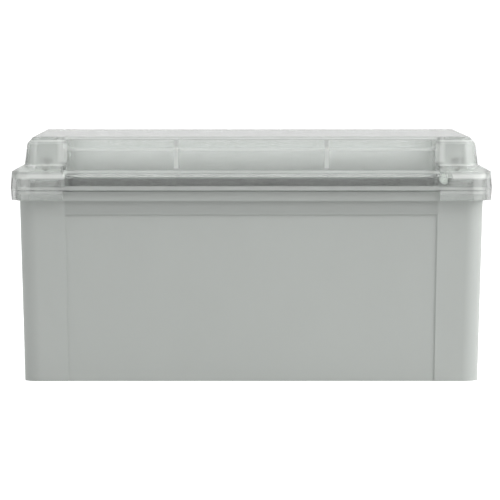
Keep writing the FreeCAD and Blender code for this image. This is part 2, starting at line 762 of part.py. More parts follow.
def add_lid_block(body):
    """Skirt, shoulder and tower walls as one solid block, with a sloping top edge."""
    taper = slope(dims.skirt_draft)
    skirt_top_inset = (corner_skirt_top - parting_line) * taper
    tower_inset = skirt_top_inset + dims.corner_shoulder_width
    sections = []
    for name, level, inset, radius in (
        ("skirt_foot", skirt_foot, (parting_line - skirt_foot) * taper, dims.skirt_corner_radius),
        ("skirt_parting", parting_line, 0.0, dims.skirt_corner_radius),
        ("skirt_top", corner_skirt_top, skirt_top_inset, dims.skirt_corner_radius),
        ("tower_foot", corner_shoulder_top, tower_inset, dims.tower_corner_radius),
    ):
        section = sketch_on(body, name, "XY_Plane", level)
        add_rounded_rectangle(section, half_length - inset, half_width - inset, radius)
        sections.append(section)
    loft(body, sections)
    towers = sketch_on(body, "towers", "XY_Plane", corner_shoulder_top)
    add_rounded_rectangle(
        towers, half_length - tower_inset, half_width - tower_inset, dims.tower_corner_radius
    )
    block = pad(body, towers, lid_top - corner_shoulder_top, draft=dims.lid_draft)
    edge = body.newObject("PartDesign::Chamfer", "top_edge")
    edge.Base = (block, edges_at_level(block.Shape, lid_top.value()))
    edge.ChamferType = "Two distances"
    edge.setExpression("Size", text_of(dims.tower_edge_drop))
    edge.setExpression("Size2", text_of(dims.tower_edge_width))
    finish_feature(body, edge, adds=False)


def edges_at_level(shape, level):
    """Names of the edges that lie flat at a level."""
    names = []
    for number, edge in enumerate(shape.Edges, start=1):
        box = edge.BoundBox
        if abs(box.ZMin - level) < SAME_LEVEL and abs(box.ZMax - level) < SAME_LEVEL:
            names.append(f"Edge{number}")
    return names


def cut_lid_runs(body):
    """Set the sides between the corners back, with their own skirt, shoulder and chamfer."""
    for plane, half, chamfer, reach in (
        ("YZ_Plane", half_width, dims.lid_chamfer, corner_x),
        ("XZ_Plane", half_length, dims.lid_edge, corner_y),
    ):
        sides = sketch_on(body, f"side_run_{plane[:2].lower()}", plane)
        profile = run_profile(half, chamfer)
        inside = half - seal_inset
        for side in (-1, 1):
            corners = [(distance * side, level) for distance, level in profile]
            corners.append((profile[-1][0] * side, lid_top + CUT_MARGIN))
            corners.append(((half + CUT_MARGIN) * side, lid_top + CUT_MARGIN))
            corners.append(((half + CUT_MARGIN) * side, skirt_foot - CUT_MARGIN))
            corners.append((inside * side, skirt_foot - CUT_MARGIN))
            corners.append((inside * side, run_skirt_foot))
            add_polygon(sides, corners)
        pocket(body, sides, reach * 2, both_ways=True)


def hollow_skirt(body):
    mouth_inset = dims.base_overhang - dims.collar_projection - dims.skirt_gap
    roof_inset = seal_inset - dims.gasket_width / 2
    sections = []
    for name, level, inset in (
        ("skirt_mouth", skirt_foot, mouth_inset),
        ("skirt_roof", groove_roof, roof_inset),
    ):
        section = sketch_on(body, name, "XY_Plane", level)
        add_rounded_rectangle(
            section, half_length - inset, half_width - inset, dims.skirt_corner_radius - dims.lid_wall
        )
        sections.append(section)
    loft(body, sections, cuts=True)


def add_seal_lips(body):
    """Two lips on the seal path with the gasket groove between them."""
    half_groove = dims.gasket_width / 2
    lips = sketch_on(body, "seal_lips", "XY_Plane", lip_foot)
    add_seal_outline(lips, half_groove + dims.lip_width)
    pad(body, lips, groove_roof - lip_foot)
    opening = sketch_on(body, "seal_opening", "XY_Plane", lip_foot)
    add_seal_outline(opening, -(half_groove + dims.lip_width))
    pocket(body, opening, ledge_top - lip_foot, backwards=True)
    groove = sketch_on(body, "seal_groove", "XY_Plane", lip_foot)
    add_seal_outline(groove, half_groove)
    add_seal_outline(groove, -half_groove)
    pocket(body, groove, groove_roof - lip_foot, backwards=True)


def hollow_dome(body):
    """The room under the lid, notched around the towers and sloping in at its front and rear."""
    inner_chamfer = dims.lid_chamfer - dims.lid_wall * BEND_SHARE
    bend = roof_underside - inner_chamfer
    sections = []
    for name, level, chamfer in (
        ("dome_foot", ledge_top, 0.0),
        ("dome_bend", bend, 0.0),
        ("dome_roof", roof_underside, inner_chamfer),
    ):
        drop = (level - bend) * slope(dims.lid_draft) if name == "dome_roof" else 0.0
        section = sketch_on(body, name, "XY_Plane", level)
        add_notched(
            section,
            run_inner_reach(half_length, level),
            run_inner_reach(half_width, level) - chamfer + drop,
            corner_x - dims.tower_wall,
            corner_y - dims.tower_wall,
            dims.seal_radius,
            dims.seal_radius / 2,
        )
        sections.append(section)
    loft(body, sections, cuts=True)


def hollow_tower(body, name, side_x, side_y):
    """The room inside a corner tower, outside the seal and open at the bottom."""
    taper = slope(dims.lid_draft)
    skirt_top_inset = (corner_skirt_top - parting_line) * slope(dims.skirt_draft)
    wall_inset = skirt_top_inset + dims.corner_shoulder_width + dims.lid_wall
    cut = (dims.tower_corner_radius - dims.lid_wall) * CORNER_SHARE
    sections = []
    for level_name, level in (("foot", groove_roof), ("roof", roof_underside)):
        narrowing = (level - corner_shoulder_top) * taper if level_name == "roof" else 0.0
        section = sketch_on(body, f"tower_{name}_{level_name}", "XY_Plane", level)
        add_polygon(section, corner_room(
            side_x, side_y,
            corner_x + dims.lip_width, corner_y + dims.lip_width,
            half_length - wall_inset - narrowing, half_width - wall_inset - narrowing, cut,
        ))
        sections.append(section)
    loft(body, sections, cuts=True)


def add_screw_tubes(body):
    """Tube over each pillar, and above it the well that takes the screw head."""
    step = seat_top + dims.well_step
    tubes = sketch_on(body, "pillar_tubes", "XY_Plane", tube_foot)
    wells = sketch_on(body, "screw_wells", "XY_Plane", step)
    tube_bores = sketch_on(body, "tube_bores", "XY_Plane", tube_foot)
    well_bores = sketch_on(body, "well_bores", "XY_Plane", lid_top)
    seat_holes = sketch_on(body, "seat_holes", "XY_Plane", seat_top)
    for place in each_corner(screw_x, screw_y):
        add_circle(tubes, place, dims.tube_bore / 2 + dims.tube_wall)
        add_circle(wells, place, dims.well_bore / 2 + dims.well_wall)
        add_circle(tube_bores, place, dims.tube_bore / 2)
        add_circle(well_bores, place, dims.well_bore / 2)
        add_circle(seat_holes, place, dims.screw_hole / 2)
    pad(body, tubes, step - tube_foot)
    pad(body, wells, roof_underside + dims.weld - step)
    pocket(body, tube_bores, seat_underside - tube_foot, backwards=True)
    pocket(body, well_bores, lid_top - seat_top)
    pocket(body, seat_holes, dims.seat_thickness)


def add_gussets(body):
    for plane, half, chamfer, spacing in (
        ("YZ_Plane", half_width, dims.lid_chamfer, dims.gusset_spacing_long),
        ("XZ_Plane", half_length, dims.lid_edge, dims.gusset_spacing_short),
    ):
        wall = run_inner_reach(half, run_shoulder_top) + dims.weld
        bend = lid_top - chamfer
        top = run_inner_reach(half, bend) - dims.gusset_depth
        for side in (-1, 1):
            ribs = sketch_on(body, f"gusset_{plane[:2].lower()}_{'low' if side < 0 else 'high'}",
                             plane, spacing / 2 * side)
            for end in (-1, 1):
                corners = [
                    (wall * end, ledge_top),
                    (run_inner_reach(half, bend) * end, bend),
                    (top * end, roof_underside + dims.weld),
                    ((top - dims.gusset_depth / 2) * end, roof_underside + dims.weld),
                    ((wall - dims.gusset_depth) * end, ledge_top + dims.lid_wall),
                ]
                add_polygon(ribs, corners)
            pad(body, ribs, dims.gusset_width, both_ways=True)


def make_gasket():
    body = new_body("gasket")
    ring = sketch_on(body, "gasket_ring", "XY_Plane", gasket_foot)
    add_seal_outline(ring, dims.gasket_width / 2)
    add_seal_outline(ring, -dims.gasket_width / 2)
    pad(body, ring, dims.gasket_height)
    knot = sketch_on(body, "gasket_knot", "XY_Plane", gasket_foot)
    add_circle(knot, knot_place(), dims.gasket_knot_radius)
    pad(body, knot, dims.gasket_height + dims.gasket_knot_rise)
    return body


def make_cover_screw(name, side_x, side_y):
    """Captive cover screw. Its own origin is on its axis at the level of the seat."""
    body = new_body(f"cover_screw_{name}")
    axis = (0.0, 0.0)
    shank = sketch_on(body, f"shank_{name}", "XY_Plane")
    add_regular(shank, axis, dims.screw_shank, SHANK_SIDES)
    pad(body, shank, seat_top - pillar_top + dims.screw_engagement, backwards=True)
    neck_foot = sketch_on(body, f"neck_foot_{name}", "XY_Plane")
    add_regular(neck_foot, axis, dims.screw_neck_foot, HEAD_SIDES)
    neck_top = sketch_on(body, f"neck_top_{name}", "XY_Plane", dims.screw_neck_height)
    add_regular(neck_top, axis, dims.screw_neck, HEAD_SIDES)
    loft(body, [neck_foot, neck_top])
    head = sketch_on(body, f"head_{name}", "XY_Plane", dims.screw_neck_height)
    add_regular(head, axis, dims.screw_head, HEAD_SIDES)
    pad(body, head, dims.screw_head_height)
    head_top = dims.screw_neck_height + dims.screw_head_height
    recess = sketch_on(body, f"recess_{name}", "XY_Plane", head_top)
    arm = dims.drive_slot_length / 2
    flank = dims.drive_slot_width / 2
    add_polygon(recess, [
        (arm, -flank), (arm, flank), (flank, flank), (flank, arm),
        (-flank, arm), (-flank, flank), (-arm, flank), (-arm, -flank),
        (-flank, -flank), (-flank, -arm), (flank, -arm), (flank, -flank),
    ])
    pocket(body, recess, dims.drive_slot_depth)
    place_body(body, screw_x * side_x, screw_y * side_y, seat_top)
    return body


def make_retainer(name, side_x, side_y):
    """Push-on ring under the seat that keeps the screw in the lid."""
    body = new_body(f"screw_retainer_{name}")
    ring = sketch_on(body, f"ring_{name}", "XY_Plane")
    add_regular(ring, (0.0, 0.0), dims.retainer_diameter, SHANK_SIDES)
    add_circle(ring, (0.0, 0.0), dims.screw_shank / 2 + dims.retainer_play)
    pad(body, ring, dims.retainer_thickness)
    place_body(body, screw_x * side_x, screw_y * side_y, pillar_top + dims.retainer_rise)
    return body


def make_pillar_inserts():
    """Six-sided threaded inserts, one moulded into each pillar."""
    body = new_body("pillar_inserts")
    outers = sketch_on(body, "insert_outers", "XY_Plane", insert_foot)
    for place in each_corner(screw_x, screw_y):
        add_regular(outers, place, dims.insert_corners, HEXAGON)
        add_circle(outers, place, dims.insert_bore / 2)
    pad(body, outers, dims.insert_length)
    return body


def make_mounting_plate():
    body = new_body("mounting_plate")
    reach_x, reach_y, inner_x, inner_y = plate_reach()
    outline = sketch_on(body, "plate_outline", "XY_Plane", dims.plate_level)
    add_notched(
        outline, reach_x, reach_y, inner_x, inner_y,
        dims.plate_corner_radius, dims.plate_corner_radius,
    )
    for place in boss_places():
        add_circle(outline, place, dims.plate_screw_shank / 2 + dims.screw_play)
    for place in rail_screw_places():
        add_circle(outline, place, dims.rail_screw_shank / 2 + dims.screw_play)
    pad(body, outline, dims.plate_thickness)
    return body


def make_screw_group(label, places, seat, shank, head, head_height, length):
    """Identical screws, one at each place, seated at a level. Repeats are kept to few faces."""
    body = new_body(label)
    shanks = sketch_on(body, f"{label}_shanks", "XY_Plane", seat - length)
    heads = sketch_on(body, f"{label}_heads", "XY_Plane", seat)
    for place in places:
        add_regular(shanks, place, shank, OCTAGON)
        add_regular(heads, place, head, OCTAGON)
    pad(body, shanks, length)
    pad(body, heads, head_height)
    return body


def rail_screw_places():
    """One screw in each of the rail's outermost slots."""
    reach = dims.rail_slot_pitch * ((RAIL_SLOT_COUNT - 1) / 2)
    return [(-reach, 0.0), (reach, 0.0)]


def make_din_rail():
    """Slotted top hat rail, its hat standing on the mounting plate."""
    body = new_body("din_rail")
    section = sketch_on(body, "rail_section", "YZ_Plane")
    hat = dims.rail_hat_width / 2
    rim = dims.rail_width / 2
    skin = dims.rail_thickness
    right_side = [
        (hat, plate_top),
        (hat, rail_top - skin),
        (rim, rail_top - skin),
        (rim, rail_top),
        (hat - skin, rail_top),
        (hat - skin, plate_top + skin),
    ]
    left_side = [(-across, level) for across, level in reversed(right_side)]
    add_polygon(section, right_side + left_side)
    pad(body, section, dims.rail_length, both_ways=True)
    slots = sketch_on(body, "rail_slots", "XY_Plane", plate_top + skin)
    end = dims.rail_slot_length / 2
    flank = dims.rail_slot_width / 2
    straight_end = end - dims.rail_slot_corner
    straight_flank = flank - dims.rail_slot_corner
    for number in range(RAIL_SLOT_COUNT):
        middle = dims.rail_slot_pitch * (number - (RAIL_SLOT_COUNT - 1) / 2)
        add_polygon(slots, [
            (middle - straight_end, -flank), (middle + straight_end, -flank),
            (middle + end, -straight_flank), (middle + end, straight_flank),
            (middle + straight_end, flank), (middle - straight_end, flank),
            (middle - end, straight_flank), (middle - end, -straight_flank),
        ])
    pocket(body, slots, skin)
    return body


def device_outline(top, shoulder, ridge):
    """Side outline of a rail device, its feet hooked around the rail's rims."""
    reach = dims.terminal_reach
    rim = dims.rail_width / 2 + dims.rail_grip
    hook = rim - dims.rail_thickness * 2
    under = rail_top - dims.rail_thickness - dims.rail_grip
    over = rail_top + dims.rail_grip
    foot = rail_top - dims.terminal_hook
    bridge = dims.jumper_slot_width / 2
    bridge_floor = rail_top + top - dims.jumper_slot_depth
    right_side = [
        (hook, under),
        (hook, foot),
        (reach, foot),
        (reach, rail_top + shoulder - dims.jumper_slot_depth),
        (reach - dims.jumper_slot_depth / 2, rail_top + shoulder),
        (ridge, rail_top + shoulder),
        (ridge - dims.ridge_taper, rail_top + top),
        (bridge, rail_top + top),
        (bridge, bridge_floor),
    ]
    left_side = [(-across, level) for across, level in reversed(right_side)]
    clip = [(-rim, under), (-rim, over), (rim, over), (rim, under)]
    return right_side + left_side + clip


def make_rail_device(label, low, width, top, shoulder, ridge):
    """A moulded block clipped on the rail. low is the place of its lower side along X."""
    body = new_body(label)
    outline = sketch_on(body, f"{label}_outline", "YZ_Plane")
    add_polygon(outline, device_outline(top, shoulder, ridge))
    pad(body, outline, width)
    place_body(body, low)
    return body


def make_terminal(label, low):
    width = dims.terminal_pitch - dims.terminal_gap
    body = make_rail_device(
        label, low, width, dims.terminal_top, dims.terminal_shoulder, dims.terminal_ridge
    )
    middle = width / 2
    level = rail_top + dims.wire_entry_level
    for side in (-1, 1):
        entry = sketch_on(body, f"{label}_entry_{'front' if side < 0 else 'rear'}",
                          "XZ_Plane", dims.terminal_reach * -side)
        add_rectangle(
            entry,
            middle - dims.wire_entry_width / 2,
            middle + dims.wire_entry_width / 2,
            level - dims.wire_entry_height / 2,
            level + dims.wire_entry_height / 2,
        )
        pocket(body, entry, dims.wire_entry_depth, backwards=side > 0)
    shafts = sketch_on(body, f"{label}_shafts", "XY_Plane", rail_top + dims.terminal_shoulder)
    for side in (-1, 1):
        add_regular(shafts, (middle, dims.clamp_reach * side), dims.clamp_hole, OCTAGON)
    pocket(body, shafts, dims.clamp_hole_depth)
    return body


def terminal_low(number):
    """Lower side of a terminal along X. The row of terminals is centred on the rail."""
    return dims.terminal_pitch * (number - (TERMINAL_COUNT + 1) / 2)


def make_end_bracket(label, low):
    """A stop that clamps on the rail beside the terminals, with a shaft for its screw."""
    body = make_rail_device(
        label, low, dims.bracket_width, dims.bracket_top,
        dims.bracket_top - dims.jumper_slot_depth, dims.terminal_ridge,
    )
    shaft = sketch_on(body, f"{label}_shaft", "XY_Plane", rail_top + dims.bracket_top)
    add_regular(shaft, (dims.bracket_width / 2, 0.0), dims.bracket_screw_hole, OCTAGON)
    pocket(body, shaft, dims.bracket_screw_depth)
    return body


def bracket_lows():
    """Lower sides along X of the left and the right end bracket."""
    left = terminal_low(0) - dims.end_plate_thickness - dims.terminal_gap * 2 - dims.bracket_width
    return left, terminal_low(TERMINAL_COUNT + 1)


def make_rail_devices():
    for number in range(TERMINAL_COUNT):
        make_terminal(f"terminal_{number + 1:02d}", terminal_low(number))
    make_terminal("earth_terminal", terminal_low(TERMINAL_COUNT))
    make_rail_device(
        "end_plate", terminal_low(0) - dims.end_plate_thickness - dims.terminal_gap,
        dims.end_plate_thickness, dims.terminal_top, dims.terminal_shoulder, dims.terminal_ridge,
    )
    for label, low in zip(("end_bracket_left", "end_bracket_right"), bracket_lows()):
        make_end_bracket(label, low)


def make_clamp_screws(label, places, seat, diameter):
    """Slotted clamp screws at the bottom of their shafts."""
    body = new_body(label)
    heads = sketch_on(body, f"{label}_heads", "XY_Plane", seat)
    slots = sketch_on(body, f"{label}_slots", "XY_Plane", seat + dims.clamp_screw_height)
    flank = dims.clamp_slot_width / 2
    for across, along in places:
        add_regular(heads, (across, along), diameter, OCTAGON)
        add_rectangle(slots, across - flank, across + flank, along - diameter, along + diameter)
    head = pad(body, heads, dims.clamp_screw_height)
    slot = pocket(body, slots, dims.clamp_slot_depth)
    return body, [head, slot]


def make_terminal_screws():
    """The front and the rear screw of every terminal, the earth terminal's with them."""
    first = terminal_low(0) + (dims.terminal_pitch - dims.terminal_gap) / 2
    body, features = make_clamp_screws(
        "terminal_screws",
        [(first, dims.clamp_reach * -1), (first, dims.clamp_reach)],
        rail_top + dims.terminal_shoulder - dims.clamp_hole_depth,
        dims.clamp_screw_head,
    )
    repeat_along_x(body, features, dims.terminal_pitch, TERMINAL_COUNT + 1)


def check_document():
    """Stop if any object failed or any piece is empty or not valid."""
    for item in document.Objects:
        if "Invalid" in item.State or "Error" in item.State:
            raise RuntimeError(f"{item.Label} failed: {item.State}")
    for body in document.findObjects("PartDesign::Body"):
        if body.Shape.isNull() or not body.Shape.isValid() or not body.Shape.Solids:
            raise RuntimeError(f"{body.Label} has no valid solid")


def write_pieces():
    os.makedirs("parts", exist_ok=True)
    for body in document.findObjects("PartDesign::Body"):
        body.Shape.exportStep(f"parts/{body.Label}.step")
        print(body.Label, len(body.Shape.Solids), round(body.Shape.Volume, 1))


make_base_shell()
make_lid()
make_gasket()
for name, side_x, side_y in CORNERS:
    make_cover_screw(name, side_x, side_y)
    make_retainer(name, side_x, side_y)
make_pillar_inserts()
make_mounting_plate()
make_screw_group(
    "plate_screws", boss_places(), plate_top, dims.plate_screw_shank, dims.plate_screw_head,
    dims.plate_screw_head_height, dims.plate_screw_length,
)
make_din_rail()
make_screw_group(
    "rail_screws", rail_screw_places(), plate_top + dims.rail_thickness, dims.rail_screw_shank,
    dims.rail_screw_head, dims.rail_screw_head_height, dims.rail_screw_length,
)
make_rail_devices()
make_terminal_screws()
make_clamp_screws(
    "bracket_screws", [(low + dims.bracket_width / 2, 0.0) for low in bracket_lows()],
    rail_top + dims.bracket_top - dims.bracket_screw_depth, dims.bracket_screw_head,
)
document.recompute()
check_document()
write_pieces()
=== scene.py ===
import math

import bmesh
import bpy
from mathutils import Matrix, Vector, noise


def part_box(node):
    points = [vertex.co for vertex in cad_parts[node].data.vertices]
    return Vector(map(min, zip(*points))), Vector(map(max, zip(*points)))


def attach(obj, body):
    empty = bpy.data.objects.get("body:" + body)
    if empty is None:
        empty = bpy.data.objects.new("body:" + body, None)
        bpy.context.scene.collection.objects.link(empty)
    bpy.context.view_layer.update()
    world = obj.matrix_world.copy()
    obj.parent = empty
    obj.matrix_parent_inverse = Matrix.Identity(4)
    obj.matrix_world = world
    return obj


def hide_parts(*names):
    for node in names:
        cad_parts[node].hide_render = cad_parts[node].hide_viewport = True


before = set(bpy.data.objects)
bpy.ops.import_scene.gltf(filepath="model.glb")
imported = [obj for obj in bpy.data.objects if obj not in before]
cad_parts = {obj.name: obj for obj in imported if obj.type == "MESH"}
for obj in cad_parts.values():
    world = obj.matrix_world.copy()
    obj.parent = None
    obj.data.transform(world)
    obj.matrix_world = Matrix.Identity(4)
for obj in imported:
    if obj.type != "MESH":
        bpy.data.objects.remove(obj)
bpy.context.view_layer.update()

MM = 0.001
CORNERS = ("front_left", "front_right", "rear_left", "rear_right")
SCREW_SIDES = 8
TERMINALS = [name for name in sorted(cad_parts) if name.startswith("terminal_0")] + ["terminal_10"]

# Colours, as linear red, green and blue
PALE_GREY = (0.455, 0.478, 0.458)
FOAM_DARK = (0.02, 0.022, 0.02)
FOAM_LIGHT = (0.23, 0.24, 0.23)
# The lump's pale foam, partly painted light for the light the lump catches
KNOT_FOAM_LIT = (0.80, 0.83, 0.80)
CLEAR_TINT = (0.84, 0.862, 0.845)
MILK_WHITE = (0.80, 0.82, 0.80)
LAMP_TINT = (0.68, 0.70, 0.685)
SCREW_GREY = (0.235, 0.25, 0.238)
NATURAL_NYLON = (0.62, 0.58, 0.46)
BRASS = (0.72, 0.48, 0.19)
ZINC = (0.60, 0.615, 0.63)
TERMINAL_GREY = (0.19, 0.20, 0.205)
EARTH_GREEN = (0.035, 0.21, 0.06)
EARTH_YELLOW = (0.75, 0.55, 0.03)
WHITE = (1.0, 1.0, 1.0)

# How far from the middle, and between which heights, a mask can reach, in millimetres
REACH = 200.0
LOW_LEVEL, HIGH_LEVEL = 125.0, 175.0

# The gasket's lump, and the spot of clearer plastic in front of it, in millimetres
KNOT_PLACE = (136.3, -137.6, 143.8)
KNOT_STRETCH = (1.12, 0.35, 1.0)
KNOT_WINDOW = (136.4, -145.0, 143.6)

# Fades from the middle outwards, as (millimetres, level)
CORNER_ACROSS = ((131.15, 0.0), (132.66, 1.0))
CORNER_ALONG = ((105.83, 0.0), (107.33, 1.0))
TOWER_WALL = ((130.0, 0.0), (131.0, 1.0), (135.0, 1.0), (137.51, 0.0))
RIM = ((155.95, 0.0), (158.24, 1.0))
RIM_FOOT = ((155.43, 0.0), (157.48, 1.0), (161.99, 1.0), (163.46, 0.0))
SKIRT_EDGE = ((163.95, 0.0), (166.13, 1.0))
LONG_RIB_START = ((120.0, 0.0), (123.29, 1.0))
SHORT_RIB_START = ((146.97, 0.0), (149.67, 1.0))

# Place of a pair of ribs from the middle, in millimetres, and how sharply they end
LONG_RIBS = (53.3, 0.00001)
SHORT_RIBS = (38.0, 0.00002)

# The band of painted shade under the collar as (height, level), and how far the painted shadow
# darkens the colour, fitted to the photograph
COLLAR_SHADE_BAND = ((117.6, 0.0), (118.8, 1.0), (127.6, 1.0), (128.4, 0.0))
COLLAR_SHADE_DARKNESS = 0.83

# Milkiness of the lid as (height, level), partly real haze and partly painted light: the narrow
# milky and clear bands stand in for highlights on ledges and for lit and shaded strips behind the
# lid. The strengths are fitted to the photograph
SIDE_MILK_AND_LIGHT = (
    (135.2, 0.04), (135.8, 0.32), (138.2, 0.30), (138.9, 0.01), (143.0, 0.03), (144.8, 0.07),
    (145.6, 0.10), (147.0, 0.16), (147.6, 0.42), (148.6, 0.42), (149.2, 0.17), (154.0, 0.18),
    (162.8, 0.16), (163.5, 0.28), (164.1, 0.28), (164.9, 0.11), (170.8, 0.11), (171.2, 0.40),
    (172.3, 0.40), (172.5, 0.17),
)
CORNER_MILK_AND_LIGHT = (
    (128.0, 0.15), (132.4, 0.15), (133.4, 0.36), (134.6, 0.36), (135.4, 0.03), (136.0, 0.36),
    (137.3, 0.34), (138.1, 0.18), (143.0, 0.20), (143.6, 0.44), (144.6, 0.76), (146.4, 0.74),
    (147.2, 0.46), (148.2, 0.42), (148.8, 0.10), (152.2, 0.18), (152.9, 0.50), (153.6, 0.50),
    (154.4, 0.36), (169.4, 0.24), (169.9, 0.46), (170.4, 0.46), (170.9, 0.18), (172.5, 0.17),
)
RIB_MILK = ((149.8, 0.0), (151.2, 1.0), (165.0, 1.0), (166.5, 0.7), (170.8, 0.7), (171.6, 0.1))
WALL_MILK = ((154.0, 0.0), (156.0, 0.34), (167.0, 0.34), (169.2, 0.08))

# The photograph's view: a long lens, a little above the box's upper edge
CAMERA_PLACE = (-0.0128, -3.1632, 0.2456)
CAMERA_TILT = 2.885
CAMERA_TURN = -0.223
CAMERA_LENS = 308.6
LAMP_AIM = Vector((0.0, 0.0, 0.08))


class Value:
    """A socket of a material's nodes that can be used in sums and products."""

    def __init__(self, finish, socket):
        self.finish = finish
        self.socket = socket

    def combined(self, operation, first, second):
        node = self.finish.node("ShaderNodeMath", {"operation": operation}, {0: first, 1: second})
        return node.value(0)

    def __add__(self, other):
        return self.combined("ADD", self, other)

    def __radd__(self, other):
        return self.combined("ADD", other, self)

    def __sub__(self, other):
        return self.combined("SUBTRACT", self, other)

    def __rsub__(self, other):
        return self.combined("SUBTRACT", other, self)

    def __mul__(self, other):
        return self.combined("MULTIPLY", self, other)

    def __pow__(self, other):
        return self.combined("POWER", self, other)


class Node:
    """A node of a finish whose outputs are read as values."""

    def __init__(self, finish, node):
        self.finish = finish
        self.node = node

    def value(self, output):
        return Value(self.finish, self.node.outputs[output])


class Shading:
    """A node tree under construction."""

    def __init__(self, tree):
        self.tree = tree

    def node(self, kind, settings=None, inputs=None):
        """Add a node, give it its settings, then fill or link its sockets."""
        node = self.tree.nodes.new(kind)
        for name, setting in (settings or {}).items():
            if name == "stops":
                self.set_stops(node.color_ramp, setting)
            else:
                setattr(node, name, setting)
        for name, content in (inputs or {}).items():
            self.fill(node.inputs[name], content)
        return Node(self, node)

    def set_stops(self, ramp, stops):
        while len(ramp.elements) < len(stops):
            ramp.elements.new(1.0)
        for element, (place, level) in zip(ramp.elements, stops):
            element.position = place
            element.color = (level, level, level, 1.0)

    def fill(self, socket, content):
        if isinstance(content, Value):
            self.tree.links.new(content.socket, socket)
        elif isinstance(content, tuple) and len(content) == 3 and socket.type == "RGBA":
            socket.default_value = (*content, 1.0)
        else:
            socket.default_value = content


class Finish(Shading):
    """A procedural material under construction."""

    def __init__(self, name):
        self.material = bpy.data.materials.new(name)
        self.material.use_nodes = True
        super().__init__(self.material.node_tree)
        self.shader = self.tree.nodes["Principled BSDF"]
        self.output = self.tree.nodes["Material Output"]

    def surface(self, **inputs):
        """Fill sockets of the shader. Underscores in a name stand for spaces."""
        for name, content in inputs.items():
            self.fill(self.shader.inputs[name.replace("_", " ")], content)

    def place(self, stretch=(1.0, 1.0, 1.0)):
        """Object coordinates in millimetres, stretched along each axis."""
        coordinates = self.node("ShaderNodeTexCoord").value("Object")
        return self.node(
            "ShaderNodeMapping",
            {"vector_type": "POINT"},
            {"Vector": coordinates, "Scale": tuple(s / MM for s in stretch)},
        ).value("Vector")

    def grain(self, size, detail=3.0, place=None, roughness=0.5):
        """Noise from 0 to 1 whose lumps are about size millimetres wide."""
        return self.node(
            "ShaderNodeTexNoise",
            {"noise_dimensions": "3D"},
            {
                "Vector": place or self.place(),
                "Scale": 1.0 / size,
                "Detail": detail,
                "Roughness": roughness,
            },
        ).value("Fac")

    def ramp(self, content, *stops):
        """Remap a value through (place, level) stops."""
        node = self.node("ShaderNodeValToRGB", {"stops": stops}, {"Fac": content})
        return node.value("Color")

    def by_height(self, height, *stops):
        """Remap a height between the low and the high level through (height, amount) stops."""
        span = HIGH_LEVEL - LOW_LEVEL
        places = [((level - LOW_LEVEL) / span, amount) for level, amount in stops]
        return self.ramp((height - LOW_LEVEL) * (1.0 / span), *places)

    def from_middle(self, distance, *stops):
        """Remap a distance to either side of the middle through (distance, amount) stops."""
        places = [((level / REACH) ** 2, amount) for level, amount in stops]
        return self.ramp(distance * distance * (1.0 / REACH ** 2), *places)

    def on_ribs(self, distance, place, sharpness):
        """One on the two ribs that stand at a place to either side of the middle."""
        off_rib = (distance * distance - place ** 2) ** 2.0 * sharpness
        return self.ramp(off_rib, (0.16, 1.0), (0.50, 0.0))

    def distance_to(self, point, stretch=(1.0, 1.0, 1.0)):
        """Distance to a point, in millimetres of the stretched coordinates."""
        return self.node(
            "ShaderNodeVectorMath",
            {"operation": "DISTANCE"},
            {0: self.place(stretch), 1: point},
        ).value("Value")

    def coordinates(self):
        """Distance across, distance along and height, in millimetres."""
        place = self.node("ShaderNodeSeparateXYZ", {}, {0: self.place()})
        return place.value("X"), place.value("Y"), place.value("Z")

    def blend(self, amount, first, second):
        """Mix two colours."""
        node = self.node(
            "ShaderNodeMix", {"data_type": "RGBA"}, {0: amount, 6: first, 7: second}
        )
        return node.value(2)

    def bump(self, height, distance, strength=1.0, under=None):
        """A bump of the given height in millimetres, on top of another one if given."""
        inputs = {"Height": height, "Distance": distance * MM, "Strength": strength}
        if under is not None:
            inputs["Normal"] = under
        return self.node("ShaderNodeBump", {}, inputs).value("Normal")


def shaded(colour, factor):
    return tuple(channel * factor for channel in colour)


def moulded_plastic(name, colour, gloss=0.42, spread=0.05, painted_collar_shade=False):
    """Moulded thermoplastic: fine spark-eroded grain, faint flow marks and dull rub marks.

    Where asked for, the sides carry painted shade in a band between the panels and the collar,
    a darker colour that stands in for the shadow under the collar. That is fitted to the
    photograph's light and is no part of the plastic.
    """
    finish = Finish(name)
    flow = finish.grain(55.0, 4.0, finish.place((1.0, 1.0, 0.45)))
    speckle = finish.grain(0.9, 2.0)
    rubbed = finish.ramp(finish.grain(14.0, 6.0, roughness=0.62), (0.52, 0.0), (0.72, 1.0))
    tone = flow * 0.75 + speckle * 0.25
    colour_mix = finish.blend(
        tone, shaded(colour, 1.0 - spread), shaded(colour, 1.0 + spread)
    )
    # Painted shade: a darker band under the collar stands in for the shadow cast there, left out
    # at the corners
    if painted_collar_shade:
        across, along, height = finish.coordinates()
        corner = finish.from_middle(across, *CORNER_ACROSS)
        corner = corner * finish.from_middle(along, *CORNER_ALONG)
        stops = [(level / REACH, amount) for level, amount in COLLAR_SHADE_BAND]
        band = finish.ramp(height * (1.0 / REACH), *stops)
        colour_mix = finish.blend(
            band * (1.0 - corner), colour_mix, shaded(colour, COLLAR_SHADE_DARKNESS)
        )
    fine = finish.bump(finish.grain(0.42, 2.0), 0.012, 0.55)
    waves = finish.bump(finish.grain(22.0, 1.0), 0.05, 0.12, fine)
    finish.surface(
        Base_Color=colour_mix,
        Roughness=gloss + flow * 0.06 + rubbed * 0.07,
        Normal=waves,
        IOR=1.55,
    )
    return finish.material


